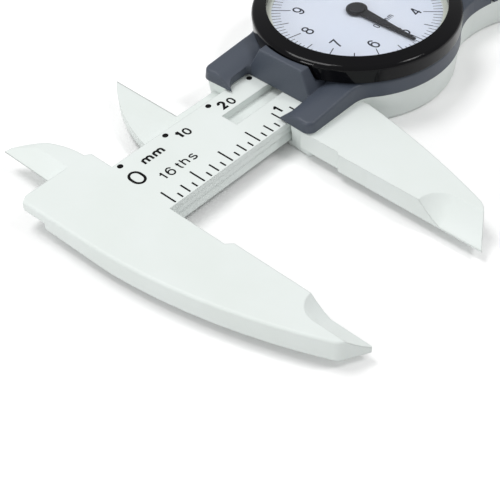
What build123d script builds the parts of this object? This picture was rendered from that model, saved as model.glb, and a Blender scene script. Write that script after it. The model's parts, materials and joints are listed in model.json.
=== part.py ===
from build123d import *
import os
from math import acos, cos, degrees, pi, radians, sin, sqrt, tan

# Dial caliper, 0 to 150 mm, white moulded beam and slider, grey cover, black bezel.
# Frame in millimetres: +X along the beam, +Y towards the inside blades, +Z out of the dial.
# The origin is on the back of the beam, on its centreline, in the plane of the fixed measuring face.

# Measuring range and the opening that the part is drawn at
measuring_range = 150.0
opening = 25.14
slide_gap = 0.10
running_gap = 0.03
fit_gap = 0.05

# Beam
beam_width = 14.2
beam_thickness = 3.9
beam_upper_groove = (1.95, 3.1, 0.2)
beam_lower_groove = (0.3, 1.9, 0.35)
beam_edge = 0.25
half_beam = beam_width / 2

# Fixed jaw plate and its outside jaw
plate_left = 15.0
plate_waist = 14.5
plate_top = 12.5
plate_corner = 0.8
plate_right = 0.4
plate_step = 1.2
plate_fillet = 0.5
plate_foot = 14.15
plate_foot_angle = 49.0
jaw_tip = 46.8
jaw_face_start = 19.4
jaw_relief = 1.0
jaw_end_width = 4.6
jaw_end_rise = 2.6
jaw_heel_radius = 2.2
jaw_point_radius = 0.3
jaw_back_start = 2.0
jaw_back_bulge = 2.1

# Scoop that leaves a knife edge at the tip of both outside jaws
scoop_turn = 38.9
scoop_sag = 0.3
scoop_rise = 0.5
fixed_scoop_reach = 4.15
fixed_knife_level = 0.95
sliding_scoop_reach = 4.6
sliding_knife_level = 0.6

# Inside blades
blade_edge = 8.25
blade_tip = 25.6
blade_width = 6.85
blade_bulge = 1.7
blade_bevel = 3.2
blade_slope_start = 20.0
blade_tip_height = 0.4
blade_split = 2.0
blade_split_gap = 0.15

# Rack channel, rack and depth rod groove
channel_start = 20.2
channel_depth = 1.4
channel_upper = 2.5
channel_lip = 0.95
channel_undercut = 3.05
channel_lip_thickness = 0.6
rod_width = 2.6
rod_thickness = 1.0
rod_groove_depth = 1.2
rod_start = 40.0
rod_tip_length = 3.0
rod_tip_width = 1.4
rod_pin_radius = 0.6
rod_pin_inset = 4.0
rod_pin_length = 1.0
rod_foot_length = 8.0
rod_offset = 45.0

# Rack and pinion: one turn of the pointer is ten millimetres
travel_per_turn = 10.0
pinion_teeth = 10
pressure_angle = 20.0
rack_addendum = 0.18
pinion_addendum = 0.28
root_gap = 0.10
backlash = 0.08
pinion_face = 0.6
pinion_clearance = 0.12

# Slider outline, seen from above
dial_offset = 26.73
flange_radius = 18.4
rail_half_width = 12.5
front_fillet = 5.0
waist_half_width = 12.35
waist_radius = 12.0
thumb_radius = 20.0
thumb_turn = 33.0
tail_radius = 6.0
front_setback = 0.5
front_lean = 0.6
front_corner = 1.6

# Slider base
base_drop = 1.57
parting_height = 0.33
base_draft = 6.0
rail_gap = 0.10
pocket_wall = 1.3
pocket_flare = 0.5
pocket_flare_length = 1.2
base_foot_edge = 0.7
sliding_jaw_thickness = 3.6
sliding_jaw_root = 13.0
sliding_jaw_root_drop = 14.3
sliding_jaw_top = 10.0
sliding_jaw_back_bulge = 0.7
sliding_jaw_end_width = 5.5
sliding_jaw_end_rise = 3.8
sliding_heel_radius = 4.0
sliding_relief_end = 18.6
tongue_top = 10.3
tongue_blade_width = 8.9
tongue_blade_bulge = 1.6

# Gib strip in the upper rail
gib_start = 8.0
gib_length = 34.0
gib_thickness = 0.5
gib_height = 2.9
gib_spring_thickness = 0.2
gib_pocket = 1.25

# Cover
cover_height = 2.75
cover_draft = 8.0
arm_front = 0.10
arm_height = 2.2
arm_slope_gap = 0.6
arm_inner = 6.95
arm_hook = 1.55
arm_hook_lean = 0.35
arm_hook_length = 2.15
arm_hook_bulge = 0.3
arm_web = 1.3
arm_brow = 9.8
arm_round = 6.0
arm_round_turn = 50.0
window_length = 6.2
cover_edge = 0.6
nose_height = 5.85
nose_lean = 0.6
nose_half_width = 4.8
nose_flare = 0.5
nose_edge = 0.3
nose_step = 0.06
hump_height = 5.3
hump_half_width = 11.2
hump_length = 26.5
hump_slope = 45.0
grip_pitch = 1.5
grip_depth = 0.7
grip_width = 0.7
grip_count = 5
grip_start_angle = 14.0

# Dial well, neck and movement
ledge_width = 2.1
neck_wall = 1.3
neck_height = 1.25
well_floor = 1.0
bridge_thickness = 0.6
bridge_ledge = 3.4
bushing_radius = 1.3
bushing_flange = 2.2
bushing_flange_height = 0.3
arbor_radius = 0.95
spigot_radius = 0.55
washer_radius = 1.6
washer_thickness = 0.3

# Bezel, crystal and dial
bezel_gap = 0.3
bezel_overhang = 0.1
bezel_lean = 0.1
bezel_rim = 2.65
bezel_wall = 1.45
retainer_width = 1.45
bezel_shoulder = 6.28
bezel_top = 7.05
bezel_edge = 0.8
bezel_room = 0.3
dial_top = 5.1
dial_thickness = 0.5
crystal_gap = 0.15
crystal_wall = 0.7
crystal_top = 7.0
crystal_edge = 0.35
crystal_flange_height = 0.45
gasket_thickness = 0.2
dial_hole_gap = 0.35
spring_wire = 0.3
spring_height = 0.8
snap_ring_angle = 345.0
dial_zero_turn = 2.3

# Pointer
pointer_length = 13.4
pointer_root_width = 2.2
pointer_tip_width = 0.5
pointer_thickness = 0.3
pointer_lift = 0.3
hub_radius = 1.9
cap_radius = 1.6
cap_height = 0.3

# Screws
screw_radius = 0.8
screw_hole_gap = 0.25
screw_head_radius = 1.8
screw_head_height = 1.2
screw_slot = 0.5
cover_screw_front = 6.2
cover_screw_rear = 5.5
cover_screw_side = 9.9
cover_screw_grip = 1.5
bridge_screw_radius = 0.55
bridge_screw_head = 0.95
bridge_screw_count = 3
bridge_screw_head_height = 0.4
bridge_screw_grip = 1.4
bridge_window_radius = 3.6
end_stop_length = 4.0
end_stop_height = 1.2
end_stop_gap = 0.5
end_stop_screw_side = 4.6

# Levels and places that follow from the sizes above
front_plane = beam_thickness
parting_plane = front_plane + parting_height
cover_plane = parting_plane + cover_height
slider_face = opening
base_front = slider_face + front_setback
dial_x = slider_face + dial_offset
cover_underside = front_plane + slide_gap
base_bottom = -base_drop
floor_top = -slide_gap
jaw_underside = front_plane - sliding_jaw_thickness
well_floor_top = parting_plane + well_floor
ledge_plane = front_plane + bridge_ledge
bridge_top = ledge_plane + bridge_thickness
bezel_foot = cover_plane + bezel_gap
dial_plane = front_plane + dial_top
dial_underside = dial_plane - dial_thickness
crystal_plane = front_plane + crystal_top
pitch_radius = travel_per_turn / (2 * pi)
tooth_pitch = travel_per_turn / pinion_teeth
channel_floor = front_plane - channel_depth
nose_front = slider_face + window_length
cover_front = slider_face + arm_front
spring_plane = cover_plane + spring_height
rod_x = slider_face + rod_offset


# Rings of the dial, from the outside of the slider inwards
bezel_radius = flange_radius + bezel_overhang
bezel_foot_radius = bezel_radius - bezel_lean
bezel_mouth = bezel_radius - bezel_rim
bezel_bore = bezel_radius - bezel_wall
crystal_radius = bezel_mouth - crystal_gap
neck_radius = bezel_bore - retainer_width
ledge_radius = neck_radius - neck_wall
well_radius = ledge_radius - ledge_width
bridge_screw_circle = (ledge_radius + well_radius) / 2
bridge_window_circle = (bushing_flange + well_radius) / 2


def fillet_centre(outer_radius, half_width, fillet_radius):
    """Distance along the beam from the dial axis to the centre of a concave flank."""
    reach = outer_radius + fillet_radius
    return sqrt(reach**2 - (half_width + fillet_radius) ** 2)


front_turn = degrees(acos((rail_half_width + front_fillet) / (flange_radius + front_fillet)))
waist_turn = degrees(acos((waist_half_width + waist_radius) / (flange_radius + waist_radius)))
flank_start = dial_x - fillet_centre(flange_radius, rail_half_width, front_fillet)
waist_x = dial_x + fillet_centre(flange_radius, waist_half_width, waist_radius)
tail_centre_x = waist_x + (thumb_radius + tail_radius) * sin(radians(thumb_turn))
slider_rear = tail_centre_x + tail_radius
slider_length = slider_rear - slider_face
end_stop_x = measuring_range + slider_length + end_stop_gap
beam_end = end_stop_x + end_stop_length + end_stop_gap
rod_end = beam_end + opening


def slider_outline(front):
    """Face of the slider body from the x of its front end, mirrored about the beam."""
    with BuildSketch() as outline:
        with BuildLine():
            rail = Line((front, -rail_half_width), (flank_start, -rail_half_width))
            flank = JernArc(rail @ 1, rail % 1, front_fillet, -front_turn)
            flange = JernArc(flank @ 1, flank % 1, flange_radius, front_turn + waist_turn)
            waist = JernArc(flange @ 1, flange % 1, waist_radius, -waist_turn)
            thumb = JernArc(waist @ 1, waist % 1, thumb_radius, -thumb_turn)
            tail = JernArc(thumb @ 1, thumb % 1, tail_radius, thumb_turn + 90)
            Line(tail @ 1, (slider_rear, 0))
            Line((front + front_lean, 0), rail @ 0)
            mirror(about=Plane.XZ)
        make_face()
        fillet(vertices().group_by(Axis.X)[0], front_corner)
    return outline.sketch


def arc_middle(start, end, bulge):
    """Middle point of an arc that bulges to the left of the way from start to end."""
    run = (end[0] - start[0], end[1] - start[1])
    length = sqrt(run[0] ** 2 + run[1] ** 2)
    middle = ((start[0] + end[0]) / 2, (start[1] + end[1]) / 2)
    return (middle[0] - run[1] / length * bulge, middle[1] + run[0] / length * bulge)


def knife_scoop(face, reach, knife_level):
    """Dished cut along a measuring face, round at its start, that leaves a knife edge along the face."""
    brim = front_plane + scoop_rise
    edge = (face, knife_level)
    right = (face + reach, brim)
    left = (face - reach, brim)
    with BuildPart() as scoop:
        with BuildSketch(Plane.XZ.offset(scoop_turn)):
            with BuildLine():
                slope = ThreePointArc(edge, arc_middle(edge, right, -scoop_sag), right)
                Polyline(slope @ 1, (face, brim), edge)
            make_face()
        revolve(axis=Axis((face, -scoop_turn, 0), (0, 0, 1)))
        with BuildSketch(Plane.XZ.offset(scoop_turn)):
            with BuildLine():
                ThreePointArc(edge, arc_middle(edge, right, -scoop_sag), right)
                Line(right, left)
                ThreePointArc(left, arc_middle(left, edge, -scoop_sag), edge)
            make_face()
        extrude(amount=jaw_tip)
    return scoop.part


# The beam, one moulding with the fixed jaw plate, its outside jaw and its inside blade
blade_root = (-blade_edge + blade_width, plate_top + plate_step / 6)
blade_point = (-blade_edge, blade_tip)
jaw_heel = (-jaw_end_width, -jaw_tip + jaw_end_rise)
jaw_shoulder = (-plate_waist, -jaw_back_start)

with BuildPart() as beam:
    with BuildSketch():
        with BuildLine():
            Polyline(
                (beam_end, half_beam),
                (beam_end, -half_beam),
                (-jaw_relief, -half_beam),
                (-jaw_relief, -jaw_face_start + jaw_relief / 2),
                (0, -jaw_face_start - jaw_relief / 2),
                (0, -jaw_tip),
                jaw_heel,
            )
            ThreePointArc(jaw_heel, arc_middle(jaw_heel, jaw_shoulder, jaw_back_bulge), jaw_shoulder)
            Polyline(
                jaw_shoulder,
                (-plate_left, plate_top - plate_corner * 0.75),
                (-plate_left + plate_corner, plate_top),
                (-blade_edge, plate_top),
                blade_point,
            )
            ThreePointArc(blade_point, arc_middle(blade_point, blade_root, blade_bulge), blade_root)
            Polyline(
                blade_root,
                (-plate_right - plate_step / 2, plate_top),
                (-plate_right, plate_top - plate_step / 3),
                (-plate_right, half_beam),
                (beam_end, half_beam),
            )
        make_face()
        fillet(vertices().sort_by_distance(jaw_heel)[0], jaw_heel_radius)
    extrude(amount=beam_thickness)
    outer_edges = (
        edges()
        .group_by(Axis.Z)[-1]
        .filter_by_position(Axis.X, -plate_left - plate_fillet, -jaw_end_width + fit_gap)
        .filter_by_position(Axis.Y, -jaw_tip, plate_top - fit_gap)
    )
    fillet(outer_edges, plate_fillet)
    # The foot of the plate's outer wall leans in
    with BuildSketch(Plane.XZ.offset(jaw_tip)):
        with BuildLine():
            foot_run = plate_left + plate_fillet - plate_foot
            foot_corner = (-plate_foot - foot_run, 0)
            foot_rise = (-plate_foot - foot_run, foot_run * tan(radians(plate_foot_angle)))
            Polyline((-plate_foot, 0), foot_corner, foot_rise, close=True)
        make_face()
    extrude(amount=-jaw_tip - plate_top, mode=Mode.SUBTRACT)
    # The back of the plate is cut away above the beam, so that the sliding blade passes behind it
    with BuildSketch():
        with Locations((-plate_left, half_beam)):
            Rectangle(4 * plate_left, 2 * blade_tip, align=(Align.CENTER, Align.MIN))
    extrude(amount=blade_split, mode=Mode.SUBTRACT)
    # Bevel of the inside blade: its knife edge lies on the plane where the two blades meet
    with BuildSketch(Plane.XZ.offset(-plate_top)):
        with BuildLine():
            Polyline(
                (-blade_edge, blade_split),
                (-blade_edge + blade_bevel, beam_thickness),
                (-blade_edge - blade_width, beam_thickness),
                (-blade_edge - blade_width, blade_split),
                close=True,
            )
        make_face()
    extrude(amount=-blade_tip, mode=Mode.SUBTRACT)
    # Slope that thins the blade towards its tip
    with BuildSketch(Plane.YZ.offset(-blade_edge - blade_width)):
        with BuildLine():
            Polyline(
                (blade_slope_start, beam_thickness),
                (blade_tip, blade_split + blade_tip_height),
                (blade_tip + plate_top, blade_split + blade_tip_height),
                (blade_tip + plate_top, beam_thickness + blade_width),
                (blade_slope_start, beam_thickness + blade_width),
                close=True,
            )
        make_face()
    extrude(amount=blade_width * 2.5, mode=Mode.SUBTRACT)
    add(knife_scoop(0, fixed_scoop_reach, fixed_knife_level), mode=Mode.SUBTRACT)
    point_edges = edges().filter_by(Axis.Z).sort_by_distance((0, -jaw_tip, 0))
    fillet(point_edges[0], jaw_point_radius)
    # Two grooves along each side of the beam
    with BuildSketch(Plane.YZ.offset(opening / 50)):
        for side in (-1, 1):
            for low, high, depth in (beam_upper_groove, beam_lower_groove):
                with BuildLine():
                    Polyline(
                        (side * half_beam, low),
                        (side * (half_beam - depth), (low + high) / 2),
                        (side * half_beam, high),
                        (side * (half_beam + depth), high),
                        (side * (half_beam + depth), low),
                        close=True,
                    )
                make_face()
    extrude(amount=beam_end, mode=Mode.SUBTRACT)
    # Rack channel with its undercut, open at the end of the beam
    with BuildSketch(Plane.YZ.offset(channel_start)):
        with BuildLine():
            Polyline(
                (channel_upper, front_plane),
                (channel_upper, channel_floor),
                (-channel_undercut, channel_floor),
                (-channel_undercut, front_plane - channel_lip_thickness),
                (-channel_lip, front_plane - channel_lip_thickness),
                (-channel_lip, front_plane),
                close=True,
            )
        make_face()
    extrude(amount=beam_end, mode=Mode.SUBTRACT)
    # Groove of the depth rod in the back
    rod_groove_start = rod_start - 2 * slide_gap
    with BuildSketch(Plane.YZ.offset(rod_groove_start)):
        with Locations((0, rod_groove_depth / 2)):
            Rectangle(rod_width + 2 * slide_gap, rod_groove_depth)
    extrude(amount=beam_end, mode=Mode.SUBTRACT)
    # Screw holes of the end stop
    with BuildSketch(Plane.XY.offset(front_plane)):
        with Locations((end_stop_x + end_stop_length / 2, 0)):
            with GridLocations(1, 2 * end_stop_screw_side, 1, 2):
                Circle(screw_radius + fit_gap)
    extrude(amount=-beam_thickness * 0.75, mode=Mode.SUBTRACT)
beam.part.label = "beam"


# The rack, a strip that slides in under the lip of the channel
rack_pitch_y = -pitch_radius
rack_tip_y = rack_pitch_y + rack_addendum
rack_root_y = rack_pitch_y - pinion_addendum - root_gap
flank = tan(radians(pressure_angle))
half_tooth = tooth_pitch / 4 - backlash / 2
rack_start = channel_start + tooth_pitch
rack_end = end_stop_x - end_stop_gap
rack_top = front_plane - channel_lip_thickness - fit_gap
first_gap = dial_x - int((dial_x - rack_start) / tooth_pitch) * tooth_pitch
tooth_total = int((rack_end - first_gap) / tooth_pitch) - 1

with BuildPart() as rack:
    with BuildSketch(Plane.XY.offset(channel_floor)):
        with BuildLine():
            outline = [(rack_start, -channel_undercut + fit_gap), (rack_start, rack_root_y)]
            for tooth in range(tooth_total):
                middle = first_gap + (tooth + 0.5) * tooth_pitch
                tip_half = half_tooth - rack_addendum * flank
                root_half = half_tooth + (rack_pitch_y - rack_root_y) * flank
                outline.append((middle - root_half, rack_root_y))
                outline.append((middle - tip_half, rack_tip_y))
                outline.append((middle + tip_half, rack_tip_y))
                outline.append((middle + root_half, rack_root_y))
            outline.append((rack_end, rack_root_y))
            outline.append((rack_end, -channel_undercut + fit_gap))
            Polyline(*outline, close=True)
        make_face()
    extrude(amount=rack_top - channel_floor)
rack.part.label = "rack"


# The end stop, a plate across the end of the channel, and its two screws
with BuildPart() as end_stop:
    with BuildSketch(Plane.XY.offset(front_plane)):
        with Locations((end_stop_x + end_stop_length / 2, 0)):
            RectangleRounded(end_stop_length, beam_width - 4 * beam_edge, beam_edge * 3)
    extrude(amount=end_stop_height)
    chamfer(edges().group_by(Axis.Z)[-1], beam_edge)
    tongue_width = channel_upper + channel_lip - 2 * fit_gap
    with BuildSketch(Plane.XY.offset(front_plane)):
        with Locations((end_stop_x + end_stop_length / 2, (channel_upper - channel_lip) / 2)):
            Rectangle(end_stop_length, tongue_width)
    extrude(amount=-channel_depth + fit_gap)
    with BuildSketch(Plane.XY.offset(front_plane + end_stop_height)):
        with Locations((end_stop_x + end_stop_length / 2, 0)):
            with GridLocations(1, 2 * end_stop_screw_side, 1, 2):
                Circle(screw_radius + fit_gap)
    extrude(amount=-end_stop_height, mode=Mode.SUBTRACT)
end_stop.part.label = "end_stop"

with BuildPart() as end_stop_screws:
    with BuildSketch(Plane.XY.offset(front_plane + end_stop_height + screw_head_height / 2)):
        with Locations((end_stop_x + end_stop_length / 2, 0)):
            with GridLocations(1, 2 * end_stop_screw_side, 1, 2):
                Circle(screw_head_radius * 0.8)
                Rectangle(screw_slot, 2 * screw_head_radius, mode=Mode.SUBTRACT)
    extrude(amount=-screw_head_height / 4)
    with BuildSketch(Plane.XY.offset(front_plane + end_stop_height + screw_head_height / 4)):
        with Locations((end_stop_x + end_stop_length / 2, 0)):
            with GridLocations(1, 2 * end_stop_screw_side, 1, 2):
                Circle(screw_head_radius * 0.8)
    extrude(amount=-screw_head_height / 4)
    with BuildSketch(Plane.XY.offset(front_plane + end_stop_height)):
        with Locations((end_stop_x + end_stop_length / 2, 0)):
            with GridLocations(1, 2 * end_stop_screw_side, 1, 2):
                Circle(screw_radius)
    extrude(amount=-end_stop_height - beam_thickness / 2)
end_stop_screws.part.label = "end_stop_screws"


# The slider base: rails, outside jaw and inside blade in one moulding
rail_inner = half_beam + rail_gap
sliding_jaw_shoulder = (slider_face + sliding_jaw_root, -sliding_jaw_root_drop)
sliding_heel = (slider_face + sliding_jaw_end_width, -jaw_tip + sliding_jaw_end_rise)
tongue_edge = slider_face - blade_edge
tongue_point = (tongue_edge, blade_tip)
tongue_heel = (tongue_edge - tongue_blade_width, rail_inner)
tongue_thickness = blade_split - blade_split_gap
cover_screw_x = (slider_face + cover_screw_front, slider_rear - cover_screw_rear)
cover_screw_places = [(x, side * cover_screw_side) for x in cover_screw_x for side in (-1, 1)]

with BuildPart() as slider_base:
    with BuildSketch(Plane.XY.offset(parting_plane)):
        add(slider_outline(base_front))
    extrude(amount=base_bottom - parting_plane, taper=base_draft)
    fillet(faces().sort_by(Axis.Z)[0].edges(), base_foot_edge)
    with BuildSketch(Plane.XY.offset(jaw_underside)):
        with BuildLine():
            Polyline(
                (sliding_jaw_shoulder[0], -sliding_jaw_top),
                (base_front, -sliding_jaw_top),
                (base_front, -sliding_relief_end + front_setback),
                (slider_face, -sliding_relief_end),
                (slider_face, -jaw_tip),
                sliding_heel,
            )
            jaw_back = arc_middle(sliding_heel, sliding_jaw_shoulder, -sliding_jaw_back_bulge)
            ThreePointArc(sliding_heel, jaw_back, sliding_jaw_shoulder)
            Line(sliding_jaw_shoulder, (sliding_jaw_shoulder[0], -sliding_jaw_top))
        make_face()
        fillet(vertices().sort_by_distance(sliding_heel)[0], sliding_heel_radius)
    extrude(amount=sliding_jaw_thickness)
    add(knife_scoop(slider_face, sliding_scoop_reach, sliding_knife_level), mode=Mode.SUBTRACT)
    # Inside blade on its strip along the beam
    with BuildSketch():
        with BuildLine():
            Polyline(
                tongue_heel,
                (base_front + pocket_wall, rail_inner),
                (base_front + pocket_wall, tongue_top),
                (tongue_edge, tongue_top),
                tongue_point,
            )
            ThreePointArc(tongue_point, arc_middle(tongue_point, tongue_heel, -tongue_blade_bulge), tongue_heel)
        make_face()
    extrude(amount=tongue_thickness)
    with BuildSketch(Plane.XZ.offset(-tongue_top)):
        with BuildLine():
            Polyline(
                (tongue_edge, tongue_thickness),
                (tongue_edge - blade_bevel, 0),
                (tongue_edge + blade_bevel, -slide_gap),
                (tongue_edge + blade_bevel, tongue_thickness),
                close=True,
            )
        make_face()
    extrude(amount=-blade_tip, mode=Mode.SUBTRACT)
    with BuildSketch(Plane.YZ.offset(tongue_edge - tongue_blade_width)):
        with BuildLine():
            Polyline(
                (blade_slope_start, 0),
                (blade_tip, tongue_thickness - blade_tip_height),
                (blade_tip, -slide_gap),
                (blade_slope_start, -slide_gap),
                close=True,
            )
        make_face()
    extrude(amount=tongue_blade_width, mode=Mode.SUBTRACT)
    # Pocket of the beam, open at both ends
    with BuildSketch(Plane.YZ.offset(slider_face - front_setback)):
        with Locations((0, floor_top)):
            Rectangle(2 * rail_inner, 2 * parting_plane, align=(Align.CENTER, Align.MIN))
    extrude(amount=slider_length + 2 * front_setback, mode=Mode.SUBTRACT)
    # Flared mouth of the pocket beside the outside jaw
    with BuildSketch(Plane.XY.offset(floor_top)):
        with BuildLine():
            Polyline(
                (slider_face, -rail_inner),
                (slider_face, -rail_inner - pocket_flare),
                (base_front + pocket_flare, -rail_inner - pocket_flare),
                (base_front + pocket_flare_length, -rail_inner),
                close=True,
            )
        make_face()
    extrude(amount=parting_plane - floor_top, mode=Mode.SUBTRACT)
    # Pocket of the gib strip and its spring
    with BuildSketch(Plane.XY.offset(parting_plane)):
        with Locations((base_front + gib_start, 0)):
            Rectangle(gib_length, rail_inner + gib_pocket, align=(Align.MIN, Align.MIN))
    extrude(amount=floor_top - parting_plane, mode=Mode.SUBTRACT)
    # Stepped holes of the cover screws
    with BuildSketch(Plane.XY.offset(base_bottom)):
        with Locations(*cover_screw_places):
            Circle(screw_head_radius + screw_hole_gap)
    extrude(amount=screw_head_height + fit_gap, mode=Mode.SUBTRACT)
    with BuildSketch(Plane.XY.offset(base_bottom)):
        with Locations(*cover_screw_places):
            Circle(screw_radius + screw_hole_gap)
    extrude(amount=parting_plane - base_bottom, mode=Mode.SUBTRACT)
    # Foot of the depth rod, raised from the floor into the groove of the beam
    with BuildSketch(Plane.XY.offset(floor_top)):
        with Locations((rod_x, 0)):
            Rectangle(rod_foot_length, rod_width, align=(Align.MIN, Align.CENTER))
    extrude(amount=2 * slide_gap)
    with BuildSketch(Plane.XY.offset(slide_gap)):
        with Locations((rod_x + rod_pin_inset, 0)):
            Circle(rod_pin_radius + fit_gap)
    extrude(amount=-rod_pin_length, mode=Mode.SUBTRACT)
slider_base.part.label = "slider_base"


# The gib strip takes up the play between the beam and the upper rail
gib_y = half_beam + running_gap
gib_back = gib_y + gib_thickness
pocket_back = rail_inner + gib_pocket
gib_x = base_front + gib_start + slide_gap
gib_bottom = (beam_thickness - gib_height) / 2

with BuildPart() as gib_strip:
    with BuildSketch(Plane.XY.offset(gib_bottom)):
        with Locations((gib_x, gib_y)):
            Rectangle(gib_length - 2 * slide_gap, gib_thickness, align=(Align.MIN, Align.MIN))
    extrude(amount=gib_height)
gib_strip.part.label = "gib_strip"

spring_half = gib_length * 0.4
spring_x = gib_x + gib_length / 2
with BuildPart() as gib_spring:
    with BuildSketch(Plane.XY.offset(gib_bottom)):
        with BuildLine():
            left = spring_x - spring_half
            right = spring_x + spring_half
            crest = gib_back + gib_spring_thickness
            ThreePointArc((left, pocket_back), (spring_x, crest), (right, pocket_back))
            Line((right, pocket_back), (right, pocket_back - gib_spring_thickness))
            heel_y = pocket_back - gib_spring_thickness
            ThreePointArc((right, heel_y), (spring_x, gib_back), (left, heel_y))
            Line((left, heel_y), (left, pocket_back))
        make_face()
    extrude(amount=gib_height)
gib_spring.part.label = "gib_spring"


# The depth rod runs in the groove of the beam and is pinned to the floor of the slider base
with BuildPart() as depth_rod:
    with BuildSketch(Plane.XY.offset(slide_gap)):
        with BuildLine():
            Polyline(
                (rod_x, -rod_width / 2),
                (rod_end - rod_tip_length, -rod_width / 2),
                (rod_end - rod_tip_length, -rod_tip_width / 2),
                (rod_end, -rod_tip_width / 2),
                (rod_end, rod_width / 2),
                (rod_x, rod_width / 2),
                close=True,
            )
        make_face()
    extrude(amount=rod_thickness)
    with BuildSketch(Plane.XY.offset(slide_gap)):
        with Locations((rod_x + rod_pin_inset, 0)):
            Circle(rod_pin_radius + fit_gap)
    extrude(amount=rod_thickness, mode=Mode.SUBTRACT)
depth_rod.part.label = "depth_rod"

with BuildPart() as rod_pin:
    with BuildSketch(Plane.XY.offset(slide_gap + rod_thickness)):
        with Locations((rod_x + rod_pin_inset, 0)):
            Circle(rod_pin_radius)
    extrude(amount=-rod_thickness - rod_pin_length)
rod_pin.part.label = "rod_pin"


# The nose of the cover, a block between its two arms that narrows upwards
nose_top = front_plane + nose_height
nose_depth = dial_x - neck_radius - nose_front
nose_foot_half_width = nose_half_width + nose_flare * (nose_top - parting_plane)

with BuildPart() as nose:
    with BuildSketch(Plane.XY.offset(parting_plane)):
        with Locations((nose_front, 0)):
            Rectangle(nose_depth, 2 * nose_foot_half_width, align=(Align.MIN, Align.CENTER))
    with BuildSketch(Plane.XY.offset(nose_top)):
        with Locations((nose_front + nose_lean, 0)):
            Rectangle(nose_depth - nose_lean, 2 * nose_half_width, align=(Align.MIN, Align.CENTER))
    loft()
    top_edges = edges().group_by(Axis.Z)[-1]
    middle_level = (nose_top + parting_plane) / 2
    corner_edges = edges().filter_by_position(Axis.Z, middle_level - fit_gap, middle_level + fit_gap)
    fillet(top_edges + corner_edges.sort_by(Axis.X)[:2], nose_edge)

# The slider cover with its two arms, the nose, the hump behind the dial and the dial well
arm_top = front_plane + arm_height
arm_run = flank_start - arm_slope_gap - cover_front
arm_rise = cover_plane - arm_top
# The wall behind the window stands just behind the front of the leaning nose
window_wall = nose_front + nose_lean * cover_height / (nose_top - parting_plane) + nose_step

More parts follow.
